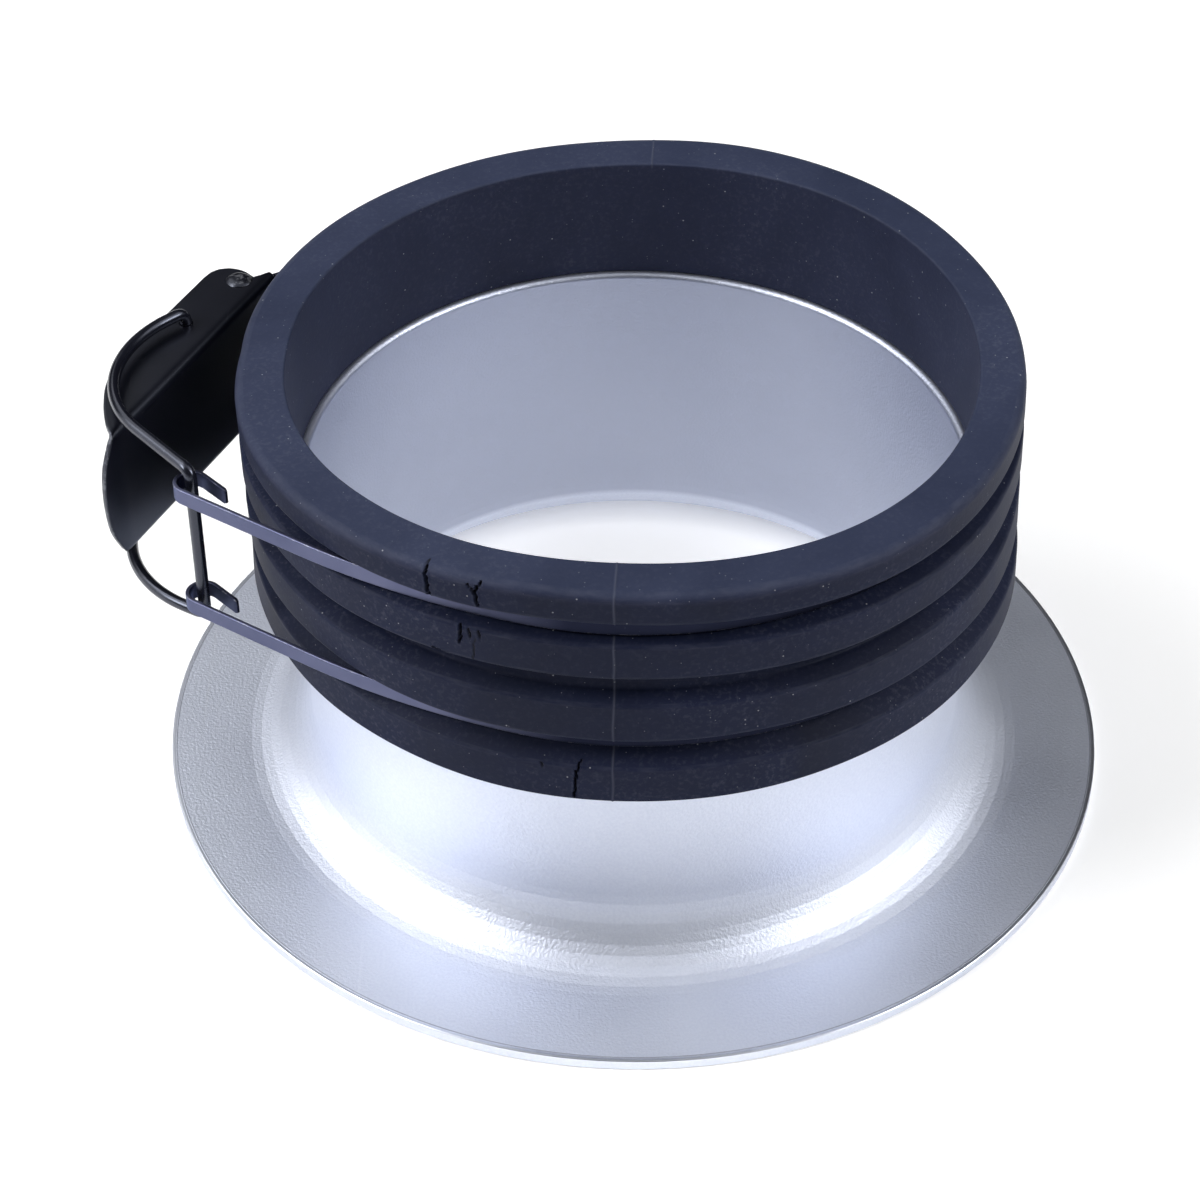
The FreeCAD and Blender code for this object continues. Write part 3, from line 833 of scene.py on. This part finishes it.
def build_band(name, upper):
    """One strip of flat steel on edge. The lower one is the upper one's mirror image."""
    path, eye_count = strip_path()
    tangent = np.gradient(path, axis=0)
    tangent /= np.linalg.norm(tangent, axis=1)[:, None]
    across = np.stack([-tangent[:, 1], tangent[:, 0]], axis=1)
    length = np.concatenate([[0], np.cumsum(np.linalg.norm(np.diff(path, axis=0), axis=1))])

    # edgewise jog that brings the eye between the lever's flanges
    from_pin = length - length[eye_count]
    drop = NARROW_DROP * (1 - np.clip((from_pin - NARROW_FROM) / NARROW_RUN, 0, 1))
    level = BAND_TOP_Z - BAND_H / 2 - drop
    if not upper:
        level = 2 * MID_Z - level

    section, marks = rounded([
        (-BAND_T / 2, -BAND_H / 2, 0.12),
        (BAND_T / 2, -BAND_H / 2, 0.12),
        (BAND_T / 2, BAND_H / 2, 0.12),
        (-BAND_T / 2, BAND_H / 2, 0.12),
    ], 3)
    section, marks = guarded(section, marks, STRIP_WEAR_GAP)
    # the strip gets thinner and lower just before each end
    from_end = np.minimum(length, length[-1] - length)
    ease = np.clip(from_end / STRIP_END_RUN, 0, 1)
    keep = 0.62 + 0.38 * np.sqrt(1 - (1 - ease) ** 2)
    rows = []
    for i in range(len(path)):
        side = section[:, 0] * keep[i]
        tall = section[:, 1] * (1 - (1 - keep[i]) * 0.45)
        flat = path[i][None, :] + across[i][None, :] * side[:, None]
        rows.append(np.column_stack([flat, level[i] + tall]))

    # painted shade: the strip is coloured dark where it sits shaded in its groove, and it is darker towards
    # its lip
    around = np.degrees(np.arctan2(path[:, 1], path[:, 0]))
    tail = length > length[eye_count] + BAND_R
    lit_share = np.clip((-100 - around) / 22, 0, 1) * tail
    lit_share = lit_share * (0.2 + 0.8 * np.clip((length[-1] - length - LIP_L - 1) / 5, 0, 1))
    count = len(section)
    layers = {"wear": np.tile(marks, len(path)), "lit_share": np.repeat(lit_share, count)}
    return new_piece(name, np.concatenate(rows), lidded_faces(len(path), count), STEEL, layers)


# ------------------------------------------------------------------ bail

def fillet_path(corners, step):
    """Smooth path through corners (point, bend radius) in space."""
    points = [np.array(corners[0][0], float)]
    for i in range(1, len(corners) - 1):
        here = np.array(corners[i][0], float)
        before = unit(np.array(corners[i - 1][0], float) - here)
        after = unit(np.array(corners[i + 1][0], float) - here)
        radius = corners[i][1]
        half = math.acos(before @ after) / 2
        centre = here + unit(before + after) * radius / math.sin(half)
        start = here + before * radius / math.tan(half) - centre
        end = here + after * radius / math.tan(half) - centre
        turn = math.pi - 2 * half
        count = max(6, math.ceil(turn * radius / step))
        for k in range(count + 1):
            share = k / count
            point = start * math.sin((1 - share) * turn) + end * math.sin(share * turn)
            points.append(centre + point / math.sin(turn))
    points.append(np.array(corners[-1][0], float))
    path = [points[0]]
    for a, b in zip(points[:-1], points[1:]):
        parts = max(1, math.ceil(np.linalg.norm(b - a) / WIRE_LONGEST))
        path += [a + (b - a) * k / parts for k in range(1, parts + 1)]
    return np.array(path)


def tube(name, path, radius, sides, material):
    """Wire of one diameter along a path, with its ends slightly rounded and worn."""
    tangent = np.gradient(path, axis=0)
    tangent /= np.linalg.norm(tangent, axis=1)[:, None]
    rings = [(path[0] + tangent[0] * back, tangent[0], radius - less) for back, less in WIRE_TAPER]
    rings += [(path[i], tangent[i], radius) for i in range(1, len(path) - 1)]
    rings += [
        (path[-1] - tangent[-1] * back, tangent[-1], radius - less) for back, less in reversed(WIRE_TAPER)
    ]
    turn = circle_angles(sides)[:, None]
    normal = unit(np.cross(tangent[0], [1.0, 0.0, 0.0]))
    rows = []
    for centre, along, size in rings:
        normal = unit(normal - along * (normal @ along))
        side = np.cross(along, normal)
        rows.append(centre + size * (np.cos(turn) * normal + np.sin(turn) * side))
    wear = np.zeros(len(rows) * sides)
    end_points = len(WIRE_TAPER) * sides
    wear[:end_points] = 1
    wear[-end_points:] = 1
    return new_piece(name, np.concatenate(rows), lidded_faces(len(rows), sides), material, {"wear": wear})


def arm_elbow(out_deg, in_deg):
    """Plan point where an arm's two straight runs would meet."""
    out_dir = heading(out_deg)
    in_dir = heading(in_deg)
    gap = HOOK - BAIL_PIVOT
    cross = out_dir[0] * in_dir[1] - out_dir[1] * in_dir[0]
    reach = (gap[0] * in_dir[1] - gap[1] * in_dir[0]) / cross
    return BAIL_PIVOT + out_dir * reach


def build_bail():
    """One bent wire: an end in each flange, two bowed arms and the bar in the hooks."""
    top_z = MID_Z + ARM_Z
    low_z = MID_Z - ARM_Z
    end_gap = LEVER_HALF - LEVER_T - WIRE_END
    path = fillet_path([
        ((*BAIL_PIVOT, MID_Z + end_gap), 0),
        ((*BAIL_PIVOT, top_z), WIRE_BEND_R),
        ((*arm_elbow(*UPPER_ARM_DEG), top_z), ARM_BOW_R),
        ((*HOOK, top_z), WIRE_BEND_R),
        ((*HOOK, low_z), WIRE_BEND_R),
        ((*arm_elbow(*LOWER_ARM_DEG), low_z), ARM_BOW_R),
        ((*BAIL_PIVOT, low_z), WIRE_BEND_R),
        ((*BAIL_PIVOT, MID_Z - end_gap), 0),
    ], WIRE_STEP)
    return tube("wire_bail", path, WIRE_R, WIRE_SIDES, WIRE)


# ------------------------------------------------------------------ lever and pin

def unfolded(w):
    """Distance across the flat sheet from the web's middle, for a height up the flange."""
    return WEB_FLAT + BEND_LENGTH + w - LEVER_BEND_R


def folded(s, t, depth):
    """Place of a point of the flat sheet once the flanges are bent and the tongue is curled."""
    side = np.where(t < 0, -1.0, 1.0)
    across = np.abs(t)
    bend = np.clip((across - WEB_FLAT) / LEVER_BEND_R, 0, math.pi / 2)
    beyond = np.clip(across - WEB_FLAT - BEND_LENGTH, 0, None)
    inner = LEVER_BEND_R - depth
    w = LEVER_BEND_R - inner * np.cos(bend) + beyond
    z = np.minimum(across, WEB_FLAT) + inner * np.sin(bend)
    curl = np.clip(s - CURL_START_S, 0, None) / TONGUE_CURL_R
    reach = TONGUE_CURL_R - w
    s_bent = np.minimum(s, CURL_START_S) + reach * np.sin(curl)
    w_bent = np.where(curl > 0, TONGUE_CURL_R - reach * np.cos(curl), w)
    along = heading(LEVER_DIR_DEG)
    out = heading(LEVER_DIR_DEG - 90)
    plan = LEVER_REF + s_bent[..., None] * along + w_bent[..., None] * out
    return np.concatenate([plan, (MID_Z + side * z)[..., None]], axis=-1)


def lever_ends(across):
    """Where the sheet starts and ends along the lever, at each distance across it."""
    lobe_from = unfolded(2.4)
    heel = np.interp(across, [unfolded(1.0), lobe_from], [-4.6, -2.3])
    lobe = [
        (lobe_from, -2.3), (unfolded(4.2), -3.0), (unfolded(6.0), -3.05), (unfolded(7.7), -2.35),
        (unfolded(8.7), -1.2), (unfolded(9.05), -0.2), (unfolded(FLANGE_W), 1.2),
    ]
    first = np.where(across < lobe_from, heel, smooth_through(lobe, np.maximum(across, lobe_from)))
    nose = [
        (0.0, 43.6), (3.0, 43.45), (6.0, 42.95), (9.3, 41.5), (10.8, 40.7), (unfolded(1.3), 40.2),
        (unfolded(3.5), 37.8), (unfolded(5.7), 34.6), (unfolded(8.1), 29.8), (unfolded(8.9), 27.2),
        (unfolded(9.15), 25.6), (unfolded(FLANGE_W), 24.6),
    ]
    return first, smooth_through(nose, across)


def lever_rows():
    """Distances across the flat sheet, closer together at its bends and its long edges."""
    half = list(np.linspace(0, WEB_FLAT, 14))
    half += list(np.linspace(WEB_FLAT, WEB_FLAT + BEND_LENGTH, 9)[1:])
    half += list(np.linspace(WEB_FLAT + BEND_LENGTH, unfolded(8.3), 13)[1:])
    half += [unfolded(w) for w in (8.5, 8.7, 8.85, 8.97, 9.06, 9.13, 9.18, FLANGE_W)]
    return np.array([-t for t in reversed(half[1:])] + half)


def rim_directions(rim):
    """Direction out of the sheet at each point of its rim."""
    ahead = np.roll(rim, -1, axis=0) - rim
    ahead /= np.linalg.norm(ahead, axis=1)[:, None]
    tangent = ahead + np.roll(ahead, 1, axis=0)
    tangent /= np.linalg.norm(tangent, axis=1)[:, None]
    return np.stack([tangent[:, 1], -tangent[:, 0]], axis=1)


def edge_profile():
    """Half-round edge of the sheet from one skin to the other: (distance out, depth)."""
    angles = [math.pi / 2 * k / LEVER_EDGE_STEPS for k in range(1, LEVER_EDGE_STEPS + 1)]
    near = [(math.sin(a) * LEVER_EDGE_ROUND, (1 - math.cos(a)) * LEVER_EDGE_ROUND) for a in angles]
    return near + [(push, LEVER_T - depth) for push, depth in reversed(near)]


def build_lever():
    """Channel with a curled tongue: two skins and a rounded edge, made flat and then folded."""
    across = lever_rows()
    first, last = lever_ends(np.abs(across))
    rows, columns = len(across), LEVER_COLUMNS
    share = np.linspace(0, 1, columns)
    s = first[:, None] + (last - first)[:, None] * share[None, :]
    t = np.broadcast_to(across[:, None], s.shape).copy()

    loop = [(0, j) for j in range(columns)]
    loop += [(i, columns - 1) for i in range(1, rows)]
    loop += [(rows - 1, j) for j in range(columns - 2, -1, -1)]
    loop += [(i, 0) for i in range(rows - 2, 0, -1)]
    rim = np.array([[s[i, j], t[i, j]] for i, j in loop])
    outward = rim_directions(rim)
    inset = rim - outward * LEVER_EDGE_ROUND
    for k, (i, j) in enumerate(loop):
        s[i, j], t[i, j] = inset[k]
    # the inner columns follow the inset ends of their row
    for i in range(1, rows - 1):
        s[i] = s[i, 0] + (s[i, -1] - s[i, 0]) * share
        t[i] = t[i, 0] + (t[i, -1] - t[i, 0]) * share

    points = [folded(s, t, np.full_like(s, depth)).reshape(-1, 3) for depth in (0.0, LEVER_T)]
    skin = rows * columns
    faces = []
    for i in range(rows - 1):
        for j in range(columns - 1):
            a = i * columns + j
            b, c, d = a + 1, a + columns + 1, a + columns
            faces.append((a, b, c, d))
            faces.append((d + skin, c + skin, b + skin, a + skin))

    rings = [[i * columns + j for i, j in loop]]
    for number, (push, depth) in enumerate(edge_profile()):
        edge = inset + outward * push
        points.append(folded(edge[:, 0], edge[:, 1], np.full(len(edge), depth)))
        start = 2 * skin + number * len(loop)
        rings.append(list(range(start, start + len(loop))))
    rings.append([k + skin for k in rings[0]])
    for before, after in zip(rings[:-1], rings[1:]):
        for k in range(len(loop)):
            n = (k + 1) % len(loop)
            faces.append((before[n], before[k], after[k], after[n]))
    points = np.concatenate(points)
    wear = np.zeros(len(points))
    wear[2 * skin:] = 1
    return new_piece("toggle_lever", points, faces, PAINT, {"wear": wear})


def drill(piece, holes):
    """Cuts holes (plan centre, radius) with flared lips through both flanges."""
    low = MID_Z - LEVER_HALF
    high = MID_Z + LEVER_HALF
    beyond = 1.0
    sides = 48
    cutters = []
    for (x, y), radius in holes:
        wide = radius + HOLE_LIP + beyond
        outline = (
            (wide, low - beyond), (radius, low + HOLE_LIP), (radius, high - HOLE_LIP), (wide, high + beyond)
        )
        points = []
        for r, z in outline:
            points += [(x + r * math.cos(a), y + r * math.sin(a), z) for a in circle_angles(sides)]
        cutters.append(new_piece("cutter", points, lidded_faces(len(outline), sides), PAINT))
    for cutter in cutters:
        modifier = piece.modifiers.new("hole", "BOOLEAN")
        modifier.operation = "DIFFERENCE"
        modifier.solver = "EXACT"
        modifier.object = cutter
    graph = bpy.context.evaluated_depsgraph_get()
    drilled = bpy.data.meshes.new_from_object(piece.evaluated_get(graph))
    piece.modifiers.clear()
    piece.data = drilled
    for cutter in cutters:
        bpy.data.objects.remove(cutter)
    drilled.set_sharp_from_angle(angle=math.radians(HARD_EDGE_DEG))


def build_pin():
    """Hinge pin with its two peened heads."""
    low = MID_Z - LEVER_HALF
    high = MID_Z + LEVER_HALF
    # radius, and share of the head's height
    head = (
        (0.0, 1.0), (0.9, 0.96), (1.45, 0.80), (1.85, 0.45), (PIN_HEAD_R, 0.15), (PIN_HEAD_R - 0.05, 0.0)
    )
    outline = [(r, low - PIN_HEAD_H * rise) for r, rise in head]
    outline += [(PIN_R, low), (PIN_R, high)]
    outline += [(r, high + PIN_HEAD_H * rise) for r, rise in reversed(head)]
    sides = 40
    turn = circle_angles(sides)
    points = [(HINGE[0], HINGE[1], outline[0][1])]
    for r, z in outline[1:-1]:
        # the rims of the heads are slightly out of round
        uneven = 0.02 if r > 1.6 else 0.0
        for a in turn:
            at_r = r * (1 + uneven * math.sin(5 * a + z))
            points.append((HINGE[0] + at_r * math.cos(a), HINGE[1] + at_r * math.sin(a), z))
    points.append((HINGE[0], HINGE[1], outline[-1][1]))
    last = len(points) - 1
    rings = len(outline) - 2
    faces = [tuple(1 + k for k in reversed(face)) for face in grid_faces(rings, sides, False, True)]
    for k in range(sides):
        n = (k + 1) % sides
        faces.append((0, 1 + n, 1 + k))
        faces.append((last, last - sides + k, last - sides + n))
    wear = np.zeros(len(points))
    head_points = 1 + (len(head) - 1) * sides
    wear[:head_points] = 1
    wear[-head_points:] = 1
    return new_piece("peened_hinge_pin", points, faces, PAINT, {"wear": wear})


# ------------------------------------------------------------------ the object

ring = build_ring()
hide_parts("flared_ring")
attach(ring, "ring")

collar = build_collar()
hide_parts("rubber_collar")
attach(collar, "ring")

# Each band is one strip. It bends from where it leaves the collar to the start of its free end.
for side, is_upper in (("upper", True), ("lower", False)):
    band = build_band(side + "_spring_band", is_upper)
    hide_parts(side + "_band", side + "_hook_strip")
    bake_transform(band)

lever = build_lever()
drill(lever, [(BAIL_PIVOT, WIRE_R + WIRE_CLEAR), (HINGE, PIN_R)])
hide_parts("latch_lever")
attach(lever, "lever")

pin = build_pin()
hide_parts("hinge_pin")
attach(pin, "lever")

bail = build_bail()
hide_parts("latch_bail")
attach(bail, "bail")


# ------------------------------------------------------------------ stage, light, camera

def build_floor():
    corners = ((-1, -1), (1, -1), (1, 1), (-1, 1))
    points = [(x * FLOOR_HALF, y * FLOOR_HALF, FLOOR_Z) for x, y in corners]
    floor = new_piece("floor", points, [(0, 1, 2, 3)], floor_paper())


def soft_box(name, azimuth, elevation, size, power):
    """Square light aimed at the object from a direction in degrees; azimuth 0 is +X, 90 is +Y."""
    data = bpy.data.lights.new(name, "AREA")
    data.shape = "RECTANGLE"
    data.size = size
    data.size_y = size
    data.energy = power
    lamp = bpy.data.objects.new(name, data)
    plan = heading(azimuth) * math.cos(math.radians(elevation))
    toward = Vector((plan[0], plan[1], math.sin(math.radians(elevation))))
    lamp.location = Vector(BOX_TARGET) + toward * BOX_DISTANCE
    lamp.rotation_euler = (-toward).to_track_quat("-Z", "Y").to_euler()
    bpy.context.scene.collection.objects.link(lamp)


def build_world():
    """Pale low horizon on the front side, dark elsewhere: the boxes do the rest."""
    world = bpy.data.worlds.new("studio")
    bpy.context.scene.world = world
    world.use_nodes = True
    tree = world.node_tree
    tree.nodes.clear()
    direction = add(tree, "ShaderNodeTexCoord").outputs["Generated"]
    parts = add(tree, "ShaderNodeSeparateXYZ", None, {0: direction})
    low = ramp(tree, parts.outputs[2], 0.30, 0.10, smooth=True)
    front = ramp(tree, parts.outputs[1], 0.3, -0.3, smooth=True)
    level = times(tree, times(tree, low, front), HORIZON_LEVEL)
    sky = add(tree, "ShaderNodeBackground", None, {"Color": (1.0, 1.0, 1.0, 1), "Strength": level})
    output = add(tree, "ShaderNodeOutputWorld")
    tree.links.new(sky.outputs[0], output.inputs["Surface"])


def build_camera():
    data = bpy.data.cameras.new("camera")
    data.sensor_width = CAMERA_SENSOR
    data.lens = CAMERA_LENS
    camera = bpy.data.objects.new("camera", data)
    camera.location = CAMERA_AT
    camera.rotation_euler = (math.radians(CAMERA_TILT_DEG), 0, 0)
    bpy.context.scene.collection.objects.link(camera)
    bpy.context.scene.camera = camera


build_floor()
build_world()
for box in BOXES:
    soft_box(*box)
build_camera()
bpy.context.scene.view_settings.view_transform = "Standard"
